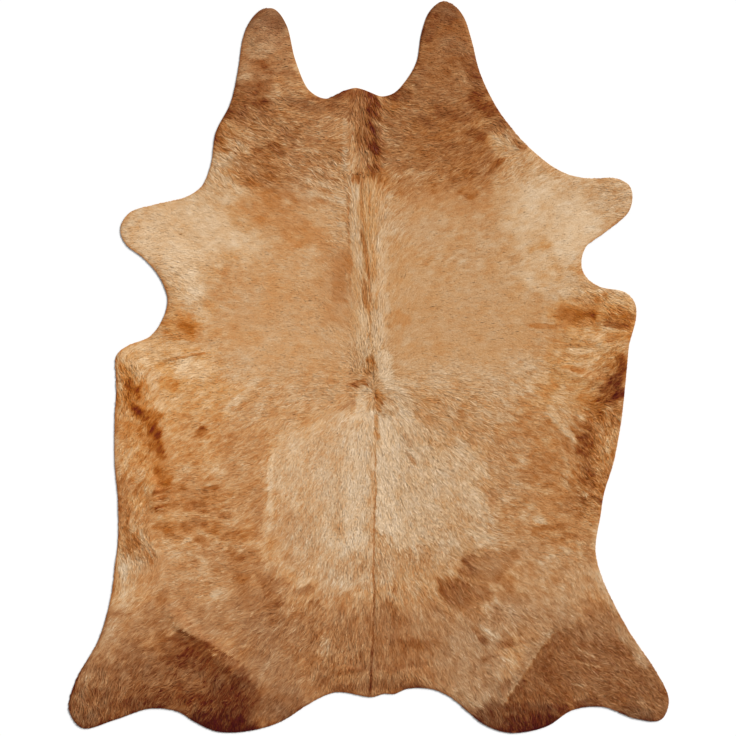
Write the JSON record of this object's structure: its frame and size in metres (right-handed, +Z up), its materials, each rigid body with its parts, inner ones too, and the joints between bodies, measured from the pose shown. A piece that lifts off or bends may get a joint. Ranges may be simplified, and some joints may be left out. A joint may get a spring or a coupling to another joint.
{
  "type": "cowhide rug",
  "caption": "Whole cowhide laid flat as a floor rug: natural hide outline with neck, forelegs and hind legs, short tan hair on top, bare skin below.",
  "frame": {"origin": "on the floor, under the middle of the hide's outer box", "axes": "+X across the hide, to the right as seen from above; +Y along the back to the neck; +Z up, out of the hair side"},
  "size_m": [1.845, 2.25, 0.0105],
  "materials": {
    "hair_on_hide": "short, dense cow hair lying flat, tan and cream mottled with caramel and brown, with a soft sheen; suede skin underneath"
  },
  "bodies": {
    "root": {"hide": "hair_on_hide"}
  },
  "joints": []
}
